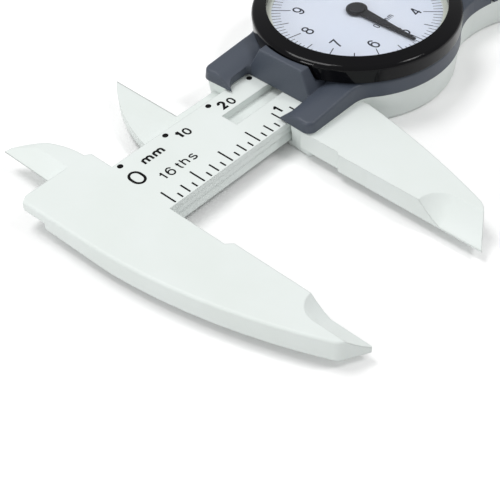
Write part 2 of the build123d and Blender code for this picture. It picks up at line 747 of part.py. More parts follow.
with BuildPart() as slider_cover:
    with BuildSketch(Plane.XY.offset(parting_plane)):
        add(slider_outline(cover_front))
    extrude(amount=cover_height, taper=cover_draft)
    with BuildSketch(Plane.XZ.offset(flange_radius)):
        with BuildLine():
            Polyline(
                (cover_front, arm_top),
                (cover_front + arm_run, cover_plane),
                (cover_front, cover_plane),
                close=True,
            )
        make_face()
    extrude(amount=-2 * flange_radius, mode=Mode.SUBTRACT)
    top_faces = faces().filter_by(lambda face: face.normal_at().Z > 0.9)
    rim_edges = top_faces.edges().filter_by(
        lambda edge: abs(edge.center().Y) > rail_inner
        or edge.center().X > dial_x
        or edge.center().X < cover_front + front_lean
    )
    fillet(rim_edges, cover_edge)
    # Each arm drops towards the beam in a round shoulder that climbs with the arm
    with BuildSketch(Plane.YZ.offset(cover_front)):
        with BuildLine():
            shoulder = CenterArc((-arm_brow, arm_top - arm_round), arm_round, 90, -arm_round_turn)
            clear_level = cover_plane + cover_height
            Polyline(shoulder @ 1, ((shoulder @ 1).X, clear_level), (-arm_brow, clear_level), shoulder @ 0)
        make_face()
        mirror(about=Plane.YZ)
    extrude(amount=flank_start - cover_front, dir=(arm_run, 0, arm_rise), mode=Mode.SUBTRACT)
    with BuildSketch(Plane.XY.offset(cover_underside)):
        with Locations((nose_front, 0)):
            Rectangle(slider_rear - nose_front - fit_gap, beam_width, align=(Align.MIN, Align.CENTER))
    extrude(amount=parting_height)
    # Window between the arms, with a small hook at the tip of each arm
    with BuildSketch(Plane.XY.offset(parting_plane)):
        with BuildLine():
            clear_x = cover_front - front_setback
            hook = (cover_front + arm_hook_lean, -arm_inner + arm_hook)
            hook_root = (cover_front + arm_hook_length, -arm_inner)
            Polyline((clear_x, 0), (clear_x, hook[1]), hook)
            ThreePointArc(hook, arc_middle(hook, hook_root, -arm_hook_bulge), hook_root)
            Polyline(hook_root, (window_wall, -arm_inner), (window_wall, 0), (clear_x, 0))
        make_face()
        mirror(about=Plane.XZ)
        fillet(vertices().group_by(Axis.X)[-1], arm_web)
    extrude(amount=cover_height, mode=Mode.SUBTRACT)
    add(nose.part)
    # Hump behind the dial
    with BuildSketch(Plane.XY.offset(cover_plane - cover_edge)):
        with Locations((dial_x, 0)):
            Rectangle(hump_length, 2 * hump_half_width, align=(Align.MIN, Align.CENTER))
    extrude(amount=hump_height - parting_height - cover_height + cover_edge, taper=hump_slope)
    # Room for the bezel, then the neck that the bezel turns on
    with BuildSketch(Plane.XY.offset(cover_plane)):
        with Locations((dial_x, 0)):
            Circle(bezel_radius + bezel_room)
    extrude(amount=hump_height, mode=Mode.SUBTRACT)
    with BuildSketch(Plane.XY.offset(cover_plane)):
        with Locations((dial_x, 0)):
            Circle(neck_radius)
    extrude(amount=neck_height)
    with BuildSketch(Plane.XY.offset(ledge_plane)):
        with Locations((dial_x, 0)):
            Circle(ledge_radius)
    extrude(amount=hump_height, mode=Mode.SUBTRACT)
    with BuildSketch(Plane.XY.offset(well_floor_top)):
        with Locations((dial_x, 0)):
            Circle(well_radius)
    extrude(amount=hump_height, mode=Mode.SUBTRACT)
    with BuildSketch(Plane.XY.offset(cover_underside)):
        with Locations((dial_x, 0)):
            Circle(bushing_radius)
    extrude(amount=hump_height, mode=Mode.SUBTRACT)
    with Locations((dial_x, 0, spring_plane)):
        Torus(neck_radius, spring_wire, mode=Mode.SUBTRACT)
    # Grip ridges on both thumb rests
    for side in (-1, 1):
        for ridge in range(grip_count):
            angle = radians(grip_start_angle) + ridge * grip_pitch / thumb_radius
            ridge_x = waist_x + thumb_radius * sin(angle)
            ridge_y = waist_half_width + thumb_radius * (1 - cos(angle))
            with BuildSketch(Plane.XY.offset(parting_plane)):
                with Locations(Location((ridge_x, side * ridge_y), side * degrees(angle))):
                    Rectangle(grip_width, 2 * grip_depth)
            extrude(amount=cover_height, mode=Mode.SUBTRACT)
    # Blind holes of the cover screws and of the bridge screws
    with BuildSketch(Plane.XY.offset(parting_plane)):
        with Locations(*cover_screw_places):
            Circle(screw_radius + fit_gap)
    extrude(amount=cover_screw_grip + fit_gap, mode=Mode.SUBTRACT)
    with BuildSketch(Plane.XY.offset(ledge_plane)):
        with Locations((dial_x, 0)):
            with PolarLocations(bridge_screw_circle, bridge_screw_count):
                Circle(bridge_screw_radius + fit_gap)
    extrude(amount=-bridge_screw_grip - fit_gap, mode=Mode.SUBTRACT)
slider_cover.part.label = "slider_cover"

with BuildPart() as cover_screws:
    with BuildSketch(Plane.XY.offset(base_bottom + fit_gap)):
        with Locations(*cover_screw_places):
            Circle(screw_head_radius)
    extrude(amount=screw_head_height)
    with BuildSketch(Plane.XY.offset(base_bottom + fit_gap)):
        with Locations(*cover_screw_places):
            Circle(screw_radius)
    extrude(amount=parting_plane - base_bottom + cover_screw_grip - fit_gap)
    with BuildSketch(Plane.XY.offset(base_bottom)):
        with Locations(*cover_screw_places):
            Rectangle(screw_slot, 2 * screw_head_radius + screw_slot)
    extrude(amount=screw_head_height / 2, mode=Mode.SUBTRACT)
cover_screws.part.label = "cover_screws"


# The movement: bridge, bushings and snap ring, all fixed in the cover
with BuildPart() as movement_bridge:
    with BuildSketch(Plane.XY.offset(ledge_plane)):
        with Locations((dial_x, 0)):
            Circle(ledge_radius - slide_gap)
            Circle(bushing_radius, mode=Mode.SUBTRACT)
            with PolarLocations(bridge_window_circle, bridge_screw_count, start_angle=180 / bridge_screw_count):
                Circle(bridge_window_radius, mode=Mode.SUBTRACT)
            with PolarLocations(bridge_screw_circle, bridge_screw_count):
                Circle(bridge_screw_radius + fit_gap, mode=Mode.SUBTRACT)
    extrude(amount=bridge_thickness)
movement_bridge.part.label = "movement_bridge"

with BuildPart() as bridge_screws:
    with BuildSketch(Plane.XY.offset(bridge_top)):
        with Locations((dial_x, 0)):
            with PolarLocations(bridge_screw_circle, bridge_screw_count):
                Circle(bridge_screw_head)
    extrude(amount=bridge_screw_head_height)
    with BuildSketch(Plane.XY.offset(bridge_top)):
        with Locations((dial_x, 0)):
            with PolarLocations(bridge_screw_circle, bridge_screw_count):
                Circle(bridge_screw_radius)
    extrude(amount=-bridge_thickness - bridge_screw_grip)
bridge_screws.part.label = "bridge_screws"

with BuildPart() as lower_bushing:
    with BuildSketch(Plane.XY.offset(cover_underside)):
        with Locations((dial_x, 0)):
            Circle(bushing_radius)
    extrude(amount=well_floor_top - cover_underside)
    with BuildSketch(Plane.XY.offset(well_floor_top)):
        with Locations((dial_x, 0)):
            Circle(bushing_flange)
    extrude(amount=bushing_flange_height)
    with BuildSketch(Plane.XY.offset(cover_underside)):
        with Locations((dial_x, 0)):
            Circle(spigot_radius + running_gap)
    extrude(amount=well_floor_top, mode=Mode.SUBTRACT)
lower_bushing.part.label = "lower_bushing"

with BuildPart() as upper_bushing:
    with BuildSketch(Plane.XY.offset(ledge_plane)):
        with Locations((dial_x, 0)):
            Circle(bushing_radius)
    extrude(amount=bridge_thickness)
    with BuildSketch(Plane.XY.offset(ledge_plane)):
        with Locations((dial_x, 0)):
            Circle(bushing_flange)
    extrude(amount=-bushing_flange_height)
    with BuildSketch(Plane.XY.offset(ledge_plane - bushing_flange_height)):
        with Locations((dial_x, 0)):
            Circle(spigot_radius + running_gap)
    extrude(amount=ledge_plane, mode=Mode.SUBTRACT)
upper_bushing.part.label = "upper_bushing"

with BuildPart() as bezel_spring:
    with Locations((dial_x, 0, spring_plane)):
        Torus(neck_radius, spring_wire, major_angle=snap_ring_angle)
bezel_spring.part.label = "bezel_spring"


# The bezel with the parts that turn with it
def dial_profile(points):
    """Ring or disc turned about the dial axis from radius and height pairs."""
    with BuildPart() as turned:
        with BuildSketch(Plane.XZ):
            with BuildLine():
                Polyline(*points, close=True)
            make_face()
        revolve(axis=Axis.Z)
    return turned.part.moved(Location((dial_x, 0, 0)))


shoulder_plane = front_plane + bezel_shoulder
mouth_plane = front_plane + bezel_top
gasket_top = dial_plane + gasket_thickness
flange_top = gasket_top + crystal_flange_height
dial_rim = bezel_bore - slide_gap

with BuildPart() as bezel:
    add(
        dial_profile(
            [
                (bezel_bore, bezel_foot),
                (bezel_foot_radius, bezel_foot),
                (bezel_radius, shoulder_plane),
                (bezel_mouth, mouth_plane),
                (bezel_mouth, flange_top),
                (bezel_bore, flange_top),
            ]
        )
    )
    fillet(edges().filter_by(GeomType.CIRCLE).group_by(SortBy.RADIUS)[-1], bezel_edge)
bezel.part.label = "bezel"

with BuildPart() as crystal:
    crystal_ceiling = crystal_plane - crystal_wall
    add(
        dial_profile(
            [
                (0, crystal_plane),
                (crystal_radius - crystal_edge, crystal_plane),
                (crystal_radius, crystal_plane - crystal_edge),
                (crystal_radius, flange_top),
                (dial_rim, flange_top),
                (dial_rim, gasket_top),
                (crystal_radius - crystal_wall, gasket_top),
                (crystal_radius - crystal_wall, crystal_ceiling),
                (0, crystal_ceiling),
            ]
        )
    )
crystal.part.label = "crystal"

with BuildPart() as crystal_gasket:
    with BuildSketch(Plane.XY.offset(dial_plane)):
        with Locations((dial_x, 0)):
            Circle(dial_rim)
            Circle(crystal_radius - crystal_wall, mode=Mode.SUBTRACT)
    extrude(amount=gasket_thickness)
crystal_gasket.part.label = "crystal_gasket"

with BuildPart() as dial_plate:
    with BuildSketch(Plane.XY.offset(dial_underside)):
        with Locations((dial_x, 0)):
            Circle(dial_rim)
            Circle(spigot_radius + dial_hole_gap, mode=Mode.SUBTRACT)
    extrude(amount=dial_thickness)
dial_plate.part.label = "dial_plate"

with BuildPart() as dial_retainer:
    with BuildSketch(Plane.XY.offset(bezel_foot)):
        with Locations((dial_x, 0)):
            Circle(bezel_bore)
            Circle(neck_radius + running_gap, mode=Mode.SUBTRACT)
    extrude(amount=dial_underside - bezel_foot)
    with Locations((dial_x, 0, spring_plane)):
        Torus(neck_radius, spring_wire + fit_gap, mode=Mode.SUBTRACT)
dial_retainer.part.label = "dial_retainer"


# The pinion on its arbor, with the pointer on top
pinion_bottom = channel_floor + pinion_clearance
pinion_tip = pitch_radius + pinion_addendum
pinion_root = pitch_radius - rack_addendum - root_gap
base_circle = pitch_radius * cos(radians(pressure_angle))


def involute(radius):
    """Involute function of the pressure angle at a radius."""
    angle = acos(min(1.0, base_circle / radius))
    return tan(angle) - angle


def tooth_half_angle(radius):
    """Half the angle that a pinion tooth spans at a radius."""
    at_pitch = half_tooth / pitch_radius + involute(pitch_radius)
    return at_pitch - involute(max(radius, base_circle))


tooth_radii = [pinion_root, base_circle, pitch_radius, (pitch_radius + pinion_tip) / 2, pinion_tip]
with BuildPart() as pinion:
    with BuildSketch(Plane.XY.offset(pinion_bottom)):
        with BuildLine():
            outline = []
            for tooth in range(pinion_teeth):
                middle = radians(-90 + tooth * 360 / pinion_teeth)
                for radius in tooth_radii:
                    angle = middle - tooth_half_angle(radius)
                    outline.append((dial_x + radius * cos(angle), radius * sin(angle)))
                for radius in reversed(tooth_radii):
                    angle = middle + tooth_half_angle(radius)
                    outline.append((dial_x + radius * cos(angle), radius * sin(angle)))
            Polyline(*outline, close=True)
        make_face()
        with Locations((dial_x, 0)):
            Circle(spigot_radius, mode=Mode.SUBTRACT)
    extrude(amount=pinion_face)
pinion.part.label = "pinion"

washer_bottom = well_floor_top + bushing_flange_height + running_gap
washer_top = washer_bottom + washer_thickness
shoulder_top = ledge_plane - bushing_flange_height - running_gap
pointer_bottom = dial_plane + pointer_lift
pointer_top = pointer_bottom + pointer_thickness

with BuildPart() as pinion_arbor:
    add(
        dial_profile(
            [
                (0, pinion_bottom - running_gap),
                (spigot_radius, pinion_bottom - running_gap),
                (spigot_radius, washer_top),
                (arbor_radius, washer_top),
                (arbor_radius, shoulder_top),
                (spigot_radius, shoulder_top),
                (spigot_radius, pointer_top),
                (0, pointer_top),
            ]
        )
    )
pinion_arbor.part.label = "pinion_arbor"

with BuildPart() as thrust_washer:
    with BuildSketch(Plane.XY.offset(washer_bottom)):
        with Locations((dial_x, 0)):
            Circle(washer_radius)
            Circle(spigot_radius, mode=Mode.SUBTRACT)
    extrude(amount=washer_thickness)
thrust_washer.part.label = "thrust_washer"

pointer_turn = radians(90 + dial_zero_turn - 360 * opening / travel_per_turn)
pointer_base = Plane(
    origin=(dial_x, 0, pointer_bottom),
    x_dir=(cos(pointer_turn), sin(pointer_turn), 0),
    z_dir=(0, 0, 1),
)
with BuildPart() as pointer:
    with BuildSketch(pointer_base):
        with BuildLine():
            Polyline(
                (0, -pointer_root_width / 2),
                (pointer_length, -pointer_tip_width / 2),
                (pointer_length, pointer_tip_width / 2),
                (0, pointer_root_width / 2),
                close=True,
            )
        make_face()
        Circle(hub_radius)
        Circle(spigot_radius, mode=Mode.SUBTRACT)
    extrude(amount=pointer_thickness)
pointer.part.label = "pointer"

with BuildPart() as pointer_cap:
    with BuildSketch(pointer_base.offset(pointer_thickness)):
        Circle(cap_radius)
    extrude(amount=cap_height)
    chamfer(edges().group_by(Axis.Z)[-1], cap_height / 2)
pointer_cap.part.label = "pointer_cap"


os.makedirs("parts", exist_ok=True)
export_step(beam.part, "parts/beam.step")
export_step(rack.part, "parts/rack.step")
export_step(end_stop.part, "parts/end_stop.step")
export_step(end_stop_screws.part, "parts/end_stop_screws.step")
export_step(slider_base.part, "parts/slider_base.step")
export_step(gib_strip.part, "parts/gib_strip.step")
export_step(gib_spring.part, "parts/gib_spring.step")
export_step(depth_rod.part, "parts/depth_rod.step")
export_step(rod_pin.part, "parts/rod_pin.step")
export_step(slider_cover.part, "parts/slider_cover.step")
export_step(cover_screws.part, "parts/cover_screws.step")
export_step(movement_bridge.part, "parts/movement_bridge.step")
export_step(bridge_screws.part, "parts/bridge_screws.step")
export_step(lower_bushing.part, "parts/lower_bushing.step")
export_step(upper_bushing.part, "parts/upper_bushing.step")
export_step(bezel_spring.part, "parts/bezel_spring.step")
export_step(bezel.part, "parts/bezel.step")
export_step(crystal.part, "parts/crystal.step")
export_step(crystal_gasket.part, "parts/crystal_gasket.step")
export_step(dial_plate.part, "parts/dial_plate.step")
export_step(dial_retainer.part, "parts/dial_retainer.step")
export_step(pinion.part, "parts/pinion.step")
export_step(pinion_arbor.part, "parts/pinion_arbor.step")
export_step(thrust_washer.part, "parts/thrust_washer.step")
export_step(pointer.part, "parts/pointer.step")
export_step(pointer_cap.part, "parts/pointer_cap.step")
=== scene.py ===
import bmesh
import bpy
import json
from math import cos, pi, radians, sin
from mathutils import Matrix, Vector
from mathutils.geometry import delaunay_2d_cdt


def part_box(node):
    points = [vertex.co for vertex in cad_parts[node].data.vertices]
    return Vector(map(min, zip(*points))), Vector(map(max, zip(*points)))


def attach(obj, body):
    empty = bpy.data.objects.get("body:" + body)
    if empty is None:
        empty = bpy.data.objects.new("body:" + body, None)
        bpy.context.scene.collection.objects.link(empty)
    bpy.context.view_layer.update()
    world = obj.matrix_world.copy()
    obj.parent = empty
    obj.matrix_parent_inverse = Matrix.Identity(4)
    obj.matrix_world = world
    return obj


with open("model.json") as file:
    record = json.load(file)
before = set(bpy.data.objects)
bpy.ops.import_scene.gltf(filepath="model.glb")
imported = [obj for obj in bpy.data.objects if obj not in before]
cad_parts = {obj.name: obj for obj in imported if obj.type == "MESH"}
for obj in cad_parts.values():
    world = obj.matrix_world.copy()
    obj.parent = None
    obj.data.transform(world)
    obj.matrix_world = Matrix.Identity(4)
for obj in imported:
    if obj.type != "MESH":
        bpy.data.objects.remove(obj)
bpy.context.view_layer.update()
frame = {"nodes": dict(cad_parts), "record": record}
MM = 0.001

# Levels and places of the solids, in millimetres, read from the frame
_, beam_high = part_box("beam")
dial_low, dial_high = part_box("dial_plate")
base_low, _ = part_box("slider_base")
BEAM_FACE = beam_high.z / MM
DIAL_FACE = dial_high.z / MM
DIAL_X = (dial_low.x + dial_high.x) / 2 / MM
FLOOR = base_low.z / MM

# Camera of the photograph: place, lens, sensor and nearest distance in millimetres
CAMERA_PLACE = Vector((-83.559, -112.142, 127.940)) * MM
CAMERA_RIGHT = Vector((0.688946, -0.722777, -0.054286))
CAMERA_DOWN = Vector((-0.541533, -0.463508, -0.701357))
CAMERA_FORWARD = Vector((0.481763, 0.512595, -0.710740))
CAMERA_LENS = 85.07
CAMERA_SENSOR = 36.0
CAMERA_NEAR = 10.0

# Lamps: places and sizes in millimetres, power in watts; and the strength of the world's light
LAMP_AIM = (30, -10, 0)
LAMPS = {
    "top": {"place": (-10, 200, 521), "size": 220, "power": 1.16},
    "left": {"place": (-440, 90, 190), "size": 120, "power": 0.62},
    "right": {"place": (206, -268, 455), "size": 120, "power": 0.64},
}
WORLD_STRENGTH = 0.47

# Floor: its tone for the light that it throws back, the brighter one that is seen, and its middle and
# size in millimetres
FLOOR_TONE = 0.8
FLOOR_SEEN = 1.07
FLOOR_X = 100
FLOOR_SIZE = 3000
FLOOR_CELLS = 8

# All materials: the noise values that a tone or gloss changes between, the relief and the rounded edges.
# A scale is in turns per metre.
NOISE_LOW = 0.3
NOISE_HIGH = 0.7
RELIEF_STRENGTH = 0.5
EDGE_SAMPLES = 4

# Moulded plastic and ink: clouds, skin, and the shares of its roughness that the skin varies between
CLOUD_SCALE = 90.0
CLOUD_DETAIL = 3.0
SKIN_DETAIL = 2.0
PLASTIC_RANGE = (0.85, 1.15)
PLASTIC_IOR = 1.48

# Metal: tool marks, roughness and its shares, and depth of the relief and edge radius in millimetres
TOOL_MARK_SCALE = 2600.0
TOOL_MARK_DETAIL = 4.0
METAL_ROUGHNESS = 0.3
METAL_RANGE = (0.8, 1.3)
METAL_DEPTH = 0.02
METAL_EDGE = 0.08

# Crystal: haze, roughness, and a coat for its highlights; it doesn't bend the light
HAZE_SCALE = 60.0
HAZE_DETAIL = 2.0
CRYSTAL_ROUGHNESS = (0.01, 0.03)
CRYSTAL_IOR = 1.0
CRYSTAL_COAT = 0.35
CRYSTAL_COAT_ROUGHNESS = 0.02

# Printed scale of the beam, in millimetres; every second and every fourth tick has a higher top
SCALE_ZERO = 0.57
SCALE_LENGTH = 150
DOT_STEP = 10.0
DOT_RADIUS = 0.52
DOT_LINE = 6.15
INCH = 25.4
TICK_STEP = INCH / 16
TICK_FOOT = -6.75
TICK_TOPS = {4: -3.35, 2: -4.5, 1: -5.45}
TICK_WIDTH = 0.31
INK_HEIGHT = 0.02

# Lettering by the zero of the scale, in millimetres: sign, middle, width, height and stroke
LEGEND = [
    ("0", 0.5, 2.05, 2.5, 3.5, 0.46),
    ("m", 4.6, 3.93, 2.1, 1.55, 0.42),
    ("m", 7.0, 3.93, 2.1, 1.55, 0.42),
    ("1", 3.4, -0.83, 0.7, 2.05, 0.28),
    ("6", 5.0, -0.9, 1.4, 2.1, 0.28),
    ("t", 6.85, -0.95, 0.85, 1.9, 0.28),
    ("h", 8.15, -0.87, 1.2, 1.95, 0.28),
    ("s", 9.85, -1.12, 1.25, 1.55, 0.28),
]

# Numbers of the scale, in millimetres
NARROW = {"1": 0.95}
NUMBER_GAP = 0.38
TENS = {"start": 1.05, "line": 4.5, "width": 1.4, "height": 2.25, "stroke": 0.48}
TENS_ZERO = {"line": 4.2, "width": 1.3, "height": 1.9, "stroke": 0.34}
INCHES = {"start": 0.83, "line": -3.43, "width": 1.4, "height": 2.35, "stroke": 0.4}

# Dial print, in millimetres and degrees; a tick has its inner end, outer end and width, and the zero
# stands at the top before the dial's turn
DIAL_TURN = 2.3
DIAL_TOP = 90
DIVISIONS = 100
DIGITS = 10
LONG_EVERY = DIVISIONS // DIGITS
HALF_EVERY = LONG_EVERY // 2
LONG_TICK = (11.6, 15.3, 0.16)
HALF_TICK = (12.3, 13.8, 0.16)
FINE_TICK = (13.35, 15.3, 0.1)
NUMERAL_RADIUS = 10.2
NUMERAL = {"wide": 1.45, "high": 2.45, "stroke": 0.3}

# Unit by the dial's middle, in millimetres: sign, middle, width, height and stroke
UNIT_LINE = -5.5
UNIT = [
    ("0", -1.52, 0.0, 0.75, 1.35, 0.16),
    (".", -0.85, 0.0, 0.2, 1.35, 0.2),
    ("1", -0.3, 0.0, 0.45, 1.35, 0.16),
    ("m", 0.95, -0.2, 1.0, 0.95, 0.16),
    ("m", 2.2, -0.2, 1.0, 0.95, 0.16),
]

# Strokes: the turn past which a mitre is held back, as one plus its cosine, and the distance in
# millimetres below which two points are one
SHARPEST = 0.4
CLOSED = 0.0001

# The kind of triangulation that covers the whole hull of the faces
WHOLE_HULL = 0


# Materials
def linear(level):
    """Linear value of a display level from 0 to 255, by the sRGB curve."""
    share = level / 255
    return share / 12.92 if share <= 0.04045 else ((share + 0.055) / 1.055) ** 2.4


def colour(red, green, blue):
    """Shader colour of a display colour."""
    return (linear(red), linear(green), linear(blue), 1.0)


def halfway(first, second):
    """Colour in the middle between two."""
    return tuple((one + other) / 2 for one, other in zip(first, second))


def material(name):
    """New node material: itself, its tree and its shader."""
    made = bpy.data.materials.new(name)
    made.use_nodes = True
    return made, made.node_tree, made.node_tree.nodes["Principled BSDF"]


def noise(tree, scale, detail):
    """Noise over the object's own space."""
    place = tree.nodes.new("ShaderNodeTexCoord")
    texture = tree.nodes.new("ShaderNodeTexNoise")
    texture.inputs["Scale"].default_value = scale
    texture.inputs["Detail"].default_value = detail
    tree.links.new(place.outputs["Object"], texture.inputs["Vector"])
    return texture.outputs["Fac"]


def ramp(tree, value, low, high):
    """Two colours mixed by a noise value."""
    mix = tree.nodes.new("ShaderNodeValToRGB")
    mix.color_ramp.elements[0].position = NOISE_LOW
    mix.color_ramp.elements[1].position = NOISE_HIGH
    mix.color_ramp.elements[0].color = low
    mix.color_ramp.elements[1].color = high
    tree.links.new(value, mix.inputs["Fac"])
    return mix.outputs["Color"]


def spread(tree, value, low, high):
    """Noise value moved into the range from low to high."""
    mapped = tree.nodes.new("ShaderNodeMapRange")
    mapped.inputs["From Min"].default_value = NOISE_LOW
    mapped.inputs["From Max"].default_value = NOISE_HIGH
    mapped.inputs["To Min"].default_value = low
    mapped.inputs["To Max"].default_value = high
    tree.links.new(value, mapped.inputs["Value"])
    return mapped.outputs["Result"]


def relief(tree, shader, value, depth, edge):
    """Relief of a depth in millimetres; with an edge radius, edges catch the light as if rounded."""
    bump = tree.nodes.new("ShaderNodeBump")
    bump.inputs["Distance"].default_value = depth * MM
    bump.inputs["Strength"].default_value = RELIEF_STRENGTH
    tree.links.new(value, bump.inputs["Height"])
    if edge:
        rounding = tree.nodes.new("ShaderNodeBevel")
        rounding.samples = EDGE_SAMPLES
        rounding.inputs["Radius"].default_value = edge * MM
        tree.links.new(rounding.outputs["Normal"], bump.inputs["Normal"])
    tree.links.new(bump.outputs["Normal"], shader.inputs["Normal"])


def moulded(name, tone, cloudy, rough, grain, depth, edge=0.0, gloss=0.5):
    """Moulded plastic or ink: clouds halfway to a second tone, a skin of fine grain, and varied gloss."""
    made, tree, shader = material(name)
    cloud = noise(tree, CLOUD_SCALE, CLOUD_DETAIL)
    tree.links.new(ramp(tree, cloud, halfway(tone, cloudy), tone), shader.inputs["Base Color"])
    skin = noise(tree, grain, SKIN_DETAIL)
    low, high = (rough * share for share in PLASTIC_RANGE)
    tree.links.new(spread(tree, skin, low, high), shader.inputs["Roughness"])
    relief(tree, shader, skin, depth, edge)
    shader.inputs["IOR"].default_value = PLASTIC_IOR
    shader.inputs["Specular IOR Level"].default_value = gloss
    return made


def metal(name, tone, marked):
    """Bright metal with fine tool marks of a second tone."""
    made, tree, shader = material(name)
    marks = noise(tree, TOOL_MARK_SCALE, TOOL_MARK_DETAIL)
    tree.links.new(ramp(tree, marks, marked, tone), shader.inputs["Base Color"])
    low, high = (METAL_ROUGHNESS * share for share in METAL_RANGE)
    tree.links.new(spread(tree, marks, low, high), shader.inputs["Roughness"])
    relief(tree, shader, marks, METAL_DEPTH, METAL_EDGE)
    shader.inputs["Metallic"].default_value = 1.0
    return made


def clear(name, tone, hazy):
    """Clear plastic with a glossy coat; light on its way to or from what lies under it passes freely."""
    made, tree, shader = material(name)
    haze = noise(tree, HAZE_SCALE, HAZE_DETAIL)
    tree.links.new(spread(tree, haze, *CRYSTAL_ROUGHNESS), shader.inputs["Roughness"])
    tree.links.new(ramp(tree, haze, hazy, tone), shader.inputs["Base Color"])
    shader.inputs["Transmission Weight"].default_value = 1.0
    shader.inputs["IOR"].default_value = CRYSTAL_IOR
    shader.inputs["Coat Weight"].default_value = CRYSTAL_COAT
    shader.inputs["Coat Roughness"].default_value = CRYSTAL_COAT_ROUGHNESS
    through = tree.nodes.new("ShaderNodeBsdfTransparent")
    path = tree.nodes.new("ShaderNodeLightPath")
    passing = tree.nodes.new("ShaderNodeMath")
    mix = tree.nodes.new("ShaderNodeMixShader")
    output = tree.nodes["Material Output"]
    tree.links.new(path.outputs["Is Shadow Ray"], passing.inputs[0])
    tree.links.new(path.outputs["Is Diffuse Ray"], passing.inputs[1])
    tree.links.new(passing.outputs["Value"], mix.inputs["Fac"])
    tree.links.new(shader.outputs["BSDF"], mix.inputs[1])
    tree.links.new(through.outputs["BSDF"], mix.inputs[2])
    tree.links.new(mix.outputs["Shader"], output.inputs["Surface"])
    return made


def floor_material():
    """Matt white that the camera, mirror images and clear plastic see brighter than it throws back."""
    made, tree, shader = material("floor")
    path = tree.nodes.new("ShaderNodeLightPath")
    mix = tree.nodes.new("ShaderNodeMix")
    mix.data_type = "RGBA"
    mix.inputs["A"].default_value = (FLOOR_TONE, FLOOR_TONE, FLOOR_TONE, 1.0)
    mix.inputs["B"].default_value = (FLOOR_SEEN, FLOOR_SEEN, FLOOR_SEEN, 1.0)
    seen = path.outputs["Is Camera Ray"]
    for ray in ("Is Glossy Ray", "Is Transmission Ray"):
        join = tree.nodes.new("ShaderNodeMath")
        join.operation = "MAXIMUM"
        tree.links.new(seen, join.inputs[0])
        tree.links.new(path.outputs[ray], join.inputs[1])
        seen = join.outputs["Value"]
    tree.links.new(seen, mix.inputs["Factor"])
    tree.links.new(mix.outputs["Result"], shader.inputs["Base Color"])
    shader.inputs["Roughness"].default_value = 1.0
    shader.inputs["Specular IOR Level"].default_value = 0.0
    return made


WHITE = moulded(
    "white_plastic",
    tone=colour(231, 237, 235),
    cloudy=colour(223, 230, 225),
    rough=0.42,
    grain=5200.0,
    depth=0.01,
    edge=0.25,
    gloss=0.35,
)
GREY = moulded(
    "grey_plastic",
    tone=colour(71, 78, 90),
    cloudy=colour(63, 70, 81),
    rough=0.42,
    grain=4200.0,
    depth=0.02,
    edge=0.3,
)
BLACK = moulded(
    "black_plastic",
    tone=colour(10, 10, 13),
    cloudy=colour(8, 8, 10),
    rough=0.07,
    grain=900.0,
    depth=0.004,
    edge=0.2,
    gloss=0.2,
)
CREAM = moulded(
    "cream_rubber",
    tone=colour(228, 232, 222),
    cloudy=colour(214, 220, 206),
    rough=0.5,
    grain=3000.0,
    depth=0.01,
    edge=0.1,
)
DIAL = moulded(
    "dial_face",
    tone=colour(216, 223, 236),
    cloudy=colour(211, 218, 232),
    rough=0.55,
    grain=6000.0,
    depth=0.003,
)
POINTER = moulded(
    "pointer_black",
    tone=colour(20, 22, 28),
    cloudy=colour(15, 17, 22),
    rough=0.4,
    grain=5000.0,
    depth=0.005,
    edge=0.1,
    gloss=0.3,
)
INK = moulded(
    "black_ink",
    tone=colour(8, 8, 9),
    cloudy=colour(13, 13, 14),
    rough=0.7,
    grain=9000.0,
    depth=0.002,
    gloss=0.15,
)
DIAL_INK = moulded(
    "dial_ink",
    tone=colour(34, 38, 50),
    cloudy=colour(42, 46, 58),
    rough=0.7,
    grain=9000.0,
    depth=0.002,
    gloss=0.15,
)
CRYSTAL = clear("crystal", tone=colour(255, 255, 255), hazy=colour(250, 252, 255))
BRASS = metal("brass", tone=(0.62, 0.42, 0.16, 1.0), marked=(0.52, 0.34, 0.12, 1.0))
STEEL = metal("steel", tone=(0.56, 0.57, 0.60, 1.0), marked=(0.48, 0.49, 0.52, 1.0))

# Each solid gets the material of its slot
NODE_MATERIALS = {
    "white_plastic": WHITE,
    "grey_plastic": GREY,
    "black_plastic": BLACK,
    "crystal": CRYSTAL,
    "cream_rubber": CREAM,
    "dial_face": DIAL,
    "pointer_black": POINTER,
    "brass": BRASS,
    "steel": STEEL,
}
for part in frame["record"]["subparts"]:
    mesh = frame["nodes"][part["node"]].data
    mesh.materials.clear()
    mesh.materials.append(NODE_MATERIALS[part["material_slot"]])


# Shapes of the print
def bar(x, y, length, width, angle):
    """Face of a bar that starts at x, y and runs along an angle in radians."""
    along = Vector((cos(angle), sin(angle)))
    across = Vector((-sin(angle), cos(angle))) * width / 2
    start = Vector((x, y))
    end = start + along * length
    return [start - across, end - across, end + across, start + across]


def arc(x, y, wide, high, start, end, steps=12):
    """Points along part of an oval, its angles in degrees."""
    angles = [radians(start + (end - start) * step / steps) for step in range(steps + 1)]
    return [(x + wide * cos(angle), y + high * sin(angle)) for angle in angles]


def ring(x, y, wide, high, steps=20):
    """Points once around an oval; the last one meets the first."""
    return arc(x, y, wide, high, 0, 360, steps)


def disc(x, y, radius, sides=28):
    """Face of a round dot."""
    return [Vector(point) for point in ring(x, y, radius, radius, sides)[:-1]]


